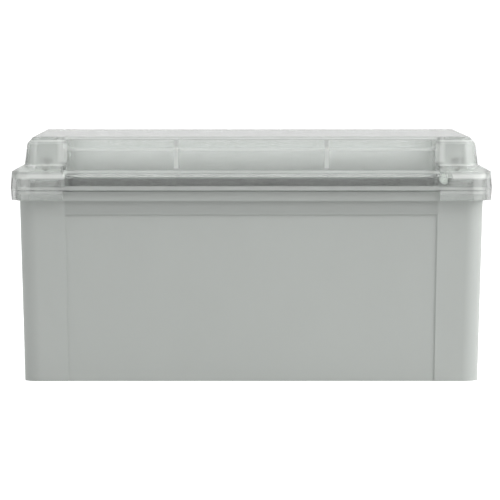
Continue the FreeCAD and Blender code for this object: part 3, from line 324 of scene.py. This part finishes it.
def clear_polycarbonate():
    """Clear moulded polycarbonate, milkier on ribs, ledges and towers and deeper edge on.

    How milky it is, and how much lamp light it lets straight through, is fitted to the
    photograph and not taken from a real sheet. So is its refractive index, which is lower
    than the 1.58 of real polycarbonate. The milk is partly real haze and partly painted light:
    its narrow bands stand in for highlights on ledges and for lit and shaded strips behind it.
    In front of the gasket's lump it is clearer.
    """
    finish = Finish("clear_polycarbonate")
    waves = finish.bump(finish.grain(45.0, 2.0), 0.03, 0.05)
    haze = finish.ramp(finish.grain(9.0, 5.0, roughness=0.6), (0.4, 0.0), (0.8, 1.0))
    edge_on = finish.node("ShaderNodeLayerWeight", {}, {"Blend": 0.5}).value("Facing")
    across, along, height = finish.coordinates()
    corner_side = finish.from_middle(along, *CORNER_ALONG)
    corner = corner_side * finish.from_middle(across, *CORNER_ACROSS)
    tower_wall = corner_side * finish.from_middle(across, *TOWER_WALL)
    rim = finish.from_middle(across, *RIM)
    rim = rim * finish.by_height(height, (150.0, 0.0), (153.0, 1.0))
    rim_foot = corner_side * finish.from_middle(across, *RIM_FOOT)
    rim_foot = rim_foot * finish.by_height(height, (144.4, 1.0), (145.4, 0.0))
    skirt_edge = finish.from_middle(across, *SKIRT_EDGE)
    from_knot = finish.distance_to(KNOT_WINDOW)
    window = finish.ramp(from_knot * 0.1, (0.50, 1.0), (0.60, 0.0))
    window_light = finish.ramp(from_knot * 0.05, (0.35, 1.0), (0.75, 0.0))
    long_rib = finish.on_ribs(across, *LONG_RIBS) * finish.from_middle(along, *LONG_RIB_START)
    short_rib = finish.on_ribs(along, *SHORT_RIBS) * finish.from_middle(across, *SHORT_RIB_START)
    rib = (long_rib + short_rib) * finish.by_height(height, *RIB_MILK)
    # Painted light in part: the side and corner bands make the lid paler where highlights and lit
    # rims fall, and clearer over shaded gaps
    side_milk_and_light = finish.by_height(height, *SIDE_MILK_AND_LIGHT) * (1.0 - corner) * (1.0 - rib * 0.6)
    corner_milk_and_light = finish.by_height(height, *CORNER_MILK_AND_LIGHT) * corner
    corner_milk_and_light = corner_milk_and_light * (1.0 - rim * 0.5) * (1.0 - skirt_edge * 0.6)
    wall_milk = tower_wall * finish.by_height(height, *WALL_MILK)
    milk_and_painted_light = side_milk_and_light + corner_milk_and_light + rim_foot * 0.12 + rib * 0.36 + wall_milk
    milk_and_painted_light = milk_and_painted_light * (1.0 - window * 0.8)
    depth = finish.ramp(edge_on, (0.45, 0.0), (1.0, 0.55)) + rim * 0.4 + skirt_edge * 0.8
    finish.surface(
        Base_Color=finish.blend(depth, CLEAR_TINT, shaded(CLEAR_TINT, 0.45)),
        Roughness=finish.by_height(height, (144.0, 0.07), (150.0, 0.2)) + haze * 0.05,
        IOR=1.46,
        Transmission_Weight=0.93,
        Normal=waves,
    )
    milk = finish.node("ShaderNodeBsdfDiffuse", {}, {"Color": MILK_WHITE})
    frosted = finish.node("ShaderNodeMixShader", {}, {0: milk_and_painted_light})
    lamp_share = finish.by_height(height, (144.0, 0.08), (152.0, 1.0))
    lamp_share = 1.0 - (1.0 - lamp_share) * (1.0 - corner * 0.3) * (1.0 - window_light)
    from_lamp = finish.node("ShaderNodeLightPath").value("Is Shadow Ray")
    clear = finish.node("ShaderNodeBsdfTransparent", {}, {"Color": LAMP_TINT})
    mixed = finish.node("ShaderNodeMixShader", {}, {0: from_lamp * lamp_share})
    finish.tree.links.new(finish.shader.outputs[0], frosted.node.inputs[1])
    finish.tree.links.new(milk.node.outputs[0], frosted.node.inputs[2])
    finish.tree.links.new(frosted.node.outputs[0], mixed.node.inputs[1])
    finish.tree.links.new(clear.node.outputs[0], mixed.node.inputs[2])
    finish.tree.links.new(mixed.node.outputs[0], finish.output.inputs["Surface"])
    return finish.material


def poured_foam():
    """Dark foam with open pores. Its top is painted paler for light falling from above, and where
    its bead starts and stops it is much paler, partly painted light that the lump catches.

    How pale and how patchy it is, is fitted to the photograph.
    """
    finish = Finish("poured_foam")
    pores = finish.node(
        "ShaderNodeTexVoronoi",
        {"feature": "SMOOTH_F1", "distance": "EUCLIDEAN"},
        {"Vector": finish.place(), "Scale": 1.0 / 1.3, "Smoothness": 0.3},
    ).value("Distance")
    patches = finish.grain(1.9, 5.0, roughness=0.68)
    open_pores = finish.ramp(pores, (0.05, 0.0), (0.42, 1.0))
    tone = patches * 0.86 + open_pores * 0.14
    knot_centre = tuple(side * share for side, share in zip(KNOT_PLACE, KNOT_STRETCH))
    from_knot = finish.distance_to(knot_centre, KNOT_STRETCH)
    knot = finish.ramp(from_knot * 0.1, (0.40, 1.0), (0.47, 0.0))
    height = finish.coordinates()[2]
    # Painted light: the bead is paler towards its top, for light falling from above
    painted_top_light = finish.by_height(height, (139.5, 0.0), (144.0, 1.0))
    paleness = finish.ramp(tone, (0.30, 0.0), (0.80, 1.0)) * 0.75 + painted_top_light * 0.25
    bead = finish.blend(paleness, FOAM_DARK, FOAM_LIGHT)
    speckles = finish.ramp(pores + (patches - 0.5) * 0.6, (0.14, 0.0), (0.38, 1.0))
    # Painted light in part: the lump is far paler than the bead, for the light it catches standing
    # out of the groove
    lump = finish.blend(speckles, shaded(KNOT_FOAM_LIT, 0.5), shaded(KNOT_FOAM_LIT, 1.14))
    finish.surface(
        Base_Color=finish.blend(knot, bead, lump),
        Roughness=0.78,
        Normal=finish.bump(open_pores * 0.6 + patches * 0.4, 0.35, 0.8),
        Specular_IOR_Level=0.2,
    )
    return finish.material


def worked_metal(name, colour, streaks=(1.0, 1.0, 1.0), spangle=None, gloss=0.34):
    """Zinc plated steel or brass: a fine grain, stains, and spangles if asked for.

    Streaks stretch the grain along one way.
    """
    finish = Finish(name)
    drawn = finish.grain(0.6, 3.0, finish.place(streaks))
    stains = finish.grain(28.0, 5.0, roughness=0.6)
    tone = drawn * 0.35 + stains * 0.65
    if spangle is not None:
        crystals = finish.node(
            "ShaderNodeTexVoronoi",
            {"feature": "F1"},
            {"Vector": finish.place(), "Scale": 1.0 / spangle, "Randomness": 1.0},
        ).value("Color")
        tone = finish.blend(0.45, tone, crystals)
    finish.surface(
        Base_Color=finish.blend(tone, shaded(colour, 0.82), shaded(colour, 1.12)),
        Metallic=1.0,
        Roughness=gloss + stains * 0.12,
        Normal=finish.bump(drawn, 0.01, 0.5),
    )
    return finish.material


def earth_plastic():
    """Green moulded plastic with the yellow band of an earth terminal."""
    finish = Finish("earth_plastic")
    height = finish.coordinates()[2]
    band_low, band_high = 46.5, 49.0
    above = finish.node("ShaderNodeMath", {"operation": "GREATER_THAN"}, {0: height, 1: band_low})
    below = finish.node("ShaderNodeMath", {"operation": "LESS_THAN"}, {0: height, 1: band_high})
    band = above.value(0) * below.value(0)
    speckle = finish.grain(0.8, 2.0)
    green = finish.blend(speckle, shaded(EARTH_GREEN, 0.9), shaded(EARTH_GREEN, 1.1))
    finish.surface(
        Base_Color=finish.blend(band, green, EARTH_YELLOW),
        Roughness=0.42 + speckle * 0.08,
        Normal=finish.bump(finish.grain(0.42, 2.0), 0.012, 0.5),
    )
    return finish.material


def new_piece(name, form, body, finish, smooth_angle=30.0):
    """Turn a form in millimetres into a piece that rides on a body."""
    bmesh.ops.scale(form, vec=(MM, MM, MM), verts=form.verts)
    mesh = bpy.data.meshes.new(name)
    form.to_mesh(mesh)
    form.free()
    mesh.shade_smooth()
    mesh.set_sharp_from_angle(angle=math.radians(smooth_angle))
    piece = bpy.data.objects.new(name, mesh)
    bpy.context.scene.collection.objects.link(piece)
    mesh.materials.append(finish)
    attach(piece, body)
    return piece


def merged_copy(node):
    """The CAD node's surface as one joined form with flat faces made whole."""
    form = bmesh.new()
    form.from_mesh(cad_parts[node].data)
    bmesh.ops.scale(form, vec=(1 / MM, 1 / MM, 1 / MM), verts=form.verts)
    bmesh.ops.remove_doubles(form, verts=form.verts, dist=0.002)
    bmesh.ops.dissolve_limit(
        form, angle_limit=math.radians(0.5), verts=form.verts, edges=form.edges
    )
    for face in form.faces:
        face.material_index = 0
    return form


def spun(profile, segments=48, closed=False):
    """Revolve a chain of (radius, level) points about the vertical axis."""
    form = bmesh.new()
    chain = [form.verts.new((radius, 0.0, level)) for radius, level in profile]
    pairs = list(zip(chain, chain[1:]))
    if closed:
        pairs.append((chain[-1], chain[0]))
    edges = [form.edges.new(pair) for pair in pairs]
    bmesh.ops.spin(
        form, geom=chain + edges, cent=(0, 0, 0), axis=(0, 0, 1), dvec=(0, 0, 0),
        angle=math.tau, steps=segments, use_merge=True,
    )
    bmesh.ops.remove_doubles(form, verts=form.verts, dist=0.001)
    bmesh.ops.recalc_face_normals(form, faces=form.faces)
    return form


def threaded(radius, depth, pitch, turns, foot, segments=24):
    """A screw thread with sharp crests, its lower end at the given level."""
    form = bmesh.new()
    chain = [
        form.verts.new((radius - depth, 0.0, foot)),
        form.verts.new((radius, 0.0, foot + pitch / 2)),
        form.verts.new((radius - depth, 0.0, foot + pitch)),
    ]
    edges = [form.edges.new(pair) for pair in zip(chain, chain[1:])]
    bmesh.ops.spin(
        form, geom=chain + edges, cent=(0, 0, 0), axis=(0, 0, 1),
        dvec=(0, 0, pitch / segments), angle=math.tau * turns, steps=segments * turns,
        use_merge=False,
    )
    bmesh.ops.remove_doubles(form, verts=form.verts, dist=0.01)
    rims = [edge for edge in form.edges if edge.is_boundary]
    bmesh.ops.holes_fill(form, edges=rims, sides=0)
    bmesh.ops.recalc_face_normals(form, faces=form.faces)
    return form


def joined(forms):
    """Put several forms into one."""
    whole = bmesh.new()
    for form in forms:
        mesh = bpy.data.meshes.new("part")
        form.to_mesh(mesh)
        form.free()
        whole.from_mesh(mesh)
        bpy.data.meshes.remove(mesh)
    return whole


def top_faces(form, level):
    return [
        face for face in form.faces
        if face.normal.z > 0.99 and abs(face.calc_center_median().z - level) < 0.01
    ]


def sink(form, level, depth, bars):
    """Sink a recess made of (half length, half width) bars into the flat top at a level."""
    cuts = sorted({edge for bar in bars for edge in bar} | {-edge for bar in bars for edge in bar})
    for axis in (Vector((1, 0, 0)), Vector((0, 1, 0))):
        for cut in cuts:
            faces = top_faces(form, level)
            edges = {edge for face in faces for edge in face.edges}
            verts = {vert for face in faces for vert in face.verts}
            bmesh.ops.bisect_plane(
                form, geom=faces + list(edges) + list(verts), dist=0.0005,
                plane_co=axis * cut, plane_no=axis,
            )
    inside = []
    for face in top_faces(form, level):
        centre = face.calc_center_median()
        if any(abs(centre.x) < half_x and abs(centre.y) < half_y for half_x, half_y in bars):
            inside.append(face)
    bmesh.ops.inset_region(
        form, faces=inside, thickness=0.08, depth=-depth, use_even_offset=True, use_boundary=True
    )
    return form


def solids_of(node):
    """Lowest and highest corner of each separate solid of a CAD node, in millimetres."""
    form = merged_copy(node)
    form.verts.ensure_lookup_table()
    waiting = set(form.verts)
    boxes = []
    while waiting:
        group = [waiting.pop()]
        for vert in group:
            for edge in vert.link_edges:
                other = edge.other_vert(vert)
                if other in waiting:
                    waiting.remove(other)
                    group.append(other)
        low = Vector(min(vert.co[axis] for vert in group) for axis in range(3))
        high = Vector(max(vert.co[axis] for vert in group) for axis in range(3))
        boxes.append((low, high))
    form.free()
    return sorted(boxes, key=lambda box: tuple(round(value, 2) for value in box[0]))


def node_box(node):
    """Lowest and highest corner of a CAD node, in millimetres."""
    low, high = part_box(node)
    return Vector(low) / MM, Vector(high) / MM


def softened(piece, width, segments=2, angle=28.0):
    """Round a piece's sharp edges with a bevel."""
    bevel = piece.modifiers.new("edges", "BEVEL")
    bevel.width = width * MM
    bevel.segments = segments
    bevel.limit_method = "ANGLE"
    bevel.angle_limit = math.radians(angle)
    evened = piece.modifiers.new("evened_normals", "WEIGHTED_NORMAL")
    evened.keep_sharp = True
    evened.weight = 100
    return piece


def dressed(node, name, body, finish, edge, segments=2, form=None):
    """A piece that stands in for a CAD node: a form of its own, or the node's softened copy."""
    piece = new_piece(name, form or merged_copy(node), body, finish)
    if edge:
        softened(piece, edge, segments)
    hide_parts(node)
    return piece


def closing_screw(low, high):
    """Captive cover screw: thread, plain shank, cone, and a thick head with a cross recess.

    It differs from the part: its thread has a pitch of 1.6 mm where the joint turns the
    screw with 2 mm, its cone narrows upwards where the part's widens, and its recess is
    0.5 mm narrower and 0.2 mm deeper.
    """
    middle = (low + high) / 2
    shank, plain_length, tip, tip_height = 3.0, 13.0, 2.7, 0.6
    cone_foot, cone_top, cone_height = 5.5, 4.5, 4.7
    head_radius, height, lower_edge, upper_edge = 6.7, 12.0, 0.2, 0.6
    recess_depth, arm, flank = 3.2, 4.3, 0.85
    seat = high.z - height
    foot = seat - plain_length
    head = spun([
        (0.0, foot), (tip, foot), (shank, foot + tip_height), (shank, seat), (cone_foot, seat),
        (cone_top, seat + cone_height), (head_radius - lower_edge, seat + cone_height),
        (head_radius, seat + cone_height + lower_edge), (head_radius, high.z - upper_edge),
        (head_radius - upper_edge, high.z), (0.0, high.z),
    ])
    sink(head, high.z, recess_depth, [(arm, flank), (flank, arm)])
    thread = threaded(radius=2.95, depth=0.55, pitch=1.6, turns=6, foot=low.z + 0.25)
    screw = joined([head, thread])
    bmesh.ops.translate(screw, vec=(middle.x, middle.y, 0.0), verts=screw.verts)
    return screw


def keeper_ring(low, high):
    """Push-on ring with narrow chamfers."""
    middle = (low + high) / 2
    inner, outer, round_off = 3.05, 4.95, 0.3
    ring = spun([
        (inner, low.z + round_off), (inner + round_off, low.z), (outer - round_off, low.z),
        (outer, low.z + round_off), (outer, high.z - round_off), (outer - round_off, high.z),
        (inner + round_off, high.z), (inner, high.z - round_off),
    ], closed=True)
    bmesh.ops.translate(ring, vec=(middle.x, middle.y, 0.0), verts=ring.verts)
    return ring


def fixings(node, head_height, shank_share, bars, rounding):
    """Screws in the place of each solid of a node, their heads as wide as the solid."""
    screws = []
    for low, high in solids_of(node):
        middle = (low + high) / 2
        radius = (high.x - low.x) / 2 / math.cos(math.pi / SCREW_SIDES)
        shank = radius * shank_share
        head_foot = high.z - head_height
        screw = spun([
            (0.0, low.z), (shank * 0.8, low.z), (shank, low.z + 0.4), (shank, head_foot),
            (radius, head_foot), (radius, high.z - rounding),
            (radius - rounding * 0.35, high.z - rounding * 0.3),
            (radius - rounding, high.z), (0.0, high.z),
        ], 32)
        sink(screw, high.z, head_height * 0.6, [(a * radius, b * radius) for a, b in bars])
        bmesh.ops.translate(screw, vec=(middle.x, middle.y, 0.0), verts=screw.verts)
        screws.append(screw)
    return joined(screws)


def poured_bead():
    """The gasket as poured: a crowned, slightly uneven bead with a lump where it was closed."""
    voxel, rounds = 0.9, 8
    wide_lump, small_lump, inset, unevenness = 5.5, 2.2, 0.12, 0.1
    form = merged_copy("gasket")
    bmesh.ops.scale(form, vec=(MM, MM, MM), verts=form.verts)
    mesh = bpy.data.meshes.new("bead_blank")
    form.to_mesh(mesh)
    form.free()
    blank = bpy.data.objects.new("bead_blank", mesh)
    bpy.context.scene.collection.objects.link(blank)
    cells = blank.modifiers.new("cells", "REMESH")
    cells.mode = "VOXEL"
    cells.voxel_size = voxel * MM
    graph = bpy.context.evaluated_depsgraph_get()
    skin = bpy.data.meshes.new_from_object(blank.evaluated_get(graph))
    bead = bmesh.new()
    bead.from_mesh(skin)
    bpy.data.objects.remove(blank)
    bpy.data.meshes.remove(skin)
    bmesh.ops.scale(bead, vec=(1 / MM, 1 / MM, 1 / MM), verts=bead.verts)
    for _ in range(rounds):
        bmesh.ops.smooth_vert(
            bead, verts=bead.verts, factor=0.5, use_axis_x=True, use_axis_y=True, use_axis_z=True
        )
    bead.normal_update()
    for vert in bead.verts:
        lumps = noise.noise(vert.co / wide_lump) + 0.5 * noise.noise(vert.co / small_lump)
        vert.co -= vert.normal * (inset + unevenness * lumps)
    return bead


# The base's plastic carries the painted shade under its collar
base_plastic = moulded_plastic("base_plastic", PALE_GREY, painted_collar_shade=True)
screw_plastic = moulded_plastic("screw_plastic", SCREW_GREY, 0.36, 0.06)
ring_plastic = moulded_plastic("ring_plastic", NATURAL_NYLON, 0.4, 0.04)
terminal_plastic = moulded_plastic("terminal_plastic", TERMINAL_GREY, 0.46, 0.06)
earth_finish = earth_plastic()
clear_finish = clear_polycarbonate()
foam_finish = poured_foam()
brass_finish = worked_metal("brass", BRASS, gloss=0.28)
plate_finish = worked_metal("plate_zinc", ZINC, (1.0, 1.0, 1.0), 9.0, 0.38)
rail_finish = worked_metal("rail_zinc", ZINC, (0.04, 1.0, 1.0), None, 0.3)
screw_steel = worked_metal("screw_steel", shaded(ZINC, 0.92), (1.0, 1.0, 1.0), None, 0.26)

dressed("base_shell", "moulded_base", "base", base_plastic, 0.45, 3)
dressed("lid", "clear_lid", "cover", clear_finish, 0.35)
dressed("gasket", "foam_seal", "cover", foam_finish, None, form=poured_bead())
for corner in CORNERS:
    dressed(
        f"cover_screw_{corner}", f"closing_screw_{corner}", f"screw_{corner}", screw_plastic,
        0.18, form=closing_screw(*node_box(f"cover_screw_{corner}")),
    )
    dressed(
        f"screw_retainer_{corner}", f"keeper_ring_{corner}", f"retainer_{corner}", ring_plastic,
        None, form=keeper_ring(*node_box(f"screw_retainer_{corner}")),
    )
dressed("pillar_inserts", "threaded_inserts", "base", brass_finish, 0.15)
dressed("mounting_plate", "zinc_plate", "base", plate_finish, 0.2)
dressed(
    "plate_screws", "plate_fixings", "base", screw_steel, 0.12,
    form=fixings("plate_screws", 2.4, 0.5, [(0.6, 0.12), (0.12, 0.6)], 0.9),
)
dressed("din_rail", "hat_rail", "base", rail_finish, 0.25)
dressed(
    "rail_screws", "rail_fixings", "base", screw_steel, 0.12,
    form=fixings("rail_screws", 1.8, 0.5, [(0.6, 0.12), (0.12, 0.6)], 0.7),
)
for name in TERMINALS:
    dressed(name, f"block_{name}", "base", terminal_plastic, 0.25)
dressed("earth_terminal", "block_earth", "base", earth_finish, 0.25)
for name in ("end_plate", "end_bracket_left", "end_bracket_right"):
    dressed(name, f"moulded_{name}", "base", terminal_plastic, 0.25)
dressed(
    "terminal_screws", "clamping_screws", "base", screw_steel, None,
    form=fixings("terminal_screws", 1.6, 0.9, [(0.86, 0.16)], 0.35),
)
dressed(
    "bracket_screws", "bracket_fixings", "base", screw_steel, None,
    form=fixings("bracket_screws", 1.6, 0.9, [(0.86, 0.16)], 0.35),
)


def add_stage():
    """A white floor that keeps the object's soft shadow, and white behind it."""
    form = bmesh.new()
    bmesh.ops.create_grid(form, x_segments=1, y_segments=1, size=6.0)
    mesh = bpy.data.meshes.new("floor")
    form.to_mesh(mesh)
    form.free()
    floor = bpy.data.objects.new("floor", mesh)
    floor.location.z = -0.0002
    bpy.context.scene.collection.objects.link(floor)
    finish = Finish("floor_white")
    path = finish.node("ShaderNodeLightPath")
    seen = path.value("Is Camera Ray") + path.value("Is Glossy Ray")
    seen = seen + path.value("Is Transmission Ray")
    finish.surface(
        Base_Color=(0.75, 0.75, 0.75),
        Roughness=0.9,
        Specular_IOR_Level=0.1,
        Emission_Color=finish.blend(seen, (0.0, 0.0, 0.0), WHITE),
        Emission_Strength=0.9,
    )
    mesh.materials.append(finish.material)


def add_world():
    """White all round to the camera, and a studio that is dimmer in front for reflections."""
    world = bpy.data.worlds.new("studio")
    bpy.context.scene.world = world
    world.use_nodes = True
    studio = Shading(world.node_tree)
    direction = studio.node("ShaderNodeTexCoord").value("Generated")
    depth = studio.node("ShaderNodeSeparateXYZ", {}, {0: direction}).value("Y")
    mirrored = studio.node(
        "ShaderNodeMapRange",
        {"interpolation_type": "SMOOTHSTEP"},
        {"Value": depth, "From Min": -0.9, "From Max": 0.6, "To Min": 0.12, "To Max": 0.75},
    ).value(0)
    path = studio.node("ShaderNodeLightPath")
    strength = (
        path.value("Is Camera Ray")
        + path.value("Is Glossy Ray") * mirrored
        + path.value("Is Transmission Ray") * 0.42
        + 0.2
    )
    background = world.node_tree.nodes["Background"]
    studio.fill(background.inputs["Color"], WHITE)
    studio.fill(background.inputs["Strength"], strength)


def add_lamp(name, place, size, power, mirrored=True):
    """A soft lamp aimed at the box. One that isn't mirrored leaves no glare on the lid."""
    data = bpy.data.lights.new(name, "AREA")
    data.shape = "RECTANGLE"
    data.size, data.size_y = size
    data.energy = power
    lamp = bpy.data.objects.new(name, data)
    lamp.location = place
    aim = LAMP_AIM - Vector(place)
    lamp.rotation_euler = aim.to_track_quat("-Z", "Y").to_euler()
    lamp.visible_transmission = False
    lamp.visible_glossy = mirrored
    bpy.context.scene.collection.objects.link(lamp)


def add_camera():
    """The photograph's view: a long lens, a little above the box's upper edge."""
    data = bpy.data.cameras.new("camera")
    data.lens = CAMERA_LENS
    data.sensor_width = 36.0
    data.clip_end = 50.0
    camera = bpy.data.objects.new("camera", data)
    camera.location = CAMERA_PLACE
    camera.rotation_euler = (math.radians(90 - CAMERA_TILT), 0.0, math.radians(CAMERA_TURN))
    bpy.context.scene.collection.objects.link(camera)
    bpy.context.scene.camera = camera


add_stage()
add_world()
add_lamp("top", (0.5, -0.75, 2.5), (3.2, 2.4), 62.0, mirrored=False)
add_lamp("right_key", (2.3, -1.5, 1.1), (1.6, 1.6), 24.0, mirrored=False)
add_lamp("right_edge", (2.4, 0.1, 0.8), (1.2, 1.2), 22.0, mirrored=False)
add_lamp("left_fill", (-2.5, -0.5, 0.9), (1.6, 1.6), 9.0, mirrored=False)
add_lamp("front_fill", (-0.4, -3.8, 1.5), (2.6, 1.6), 4.0)
add_lamp("rear_fill", (-0.9, 3.2, 1.3), (2.4, 1.6), 16.0, mirrored=False)
add_camera()
bpy.context.scene.view_settings.view_transform = "Standard"
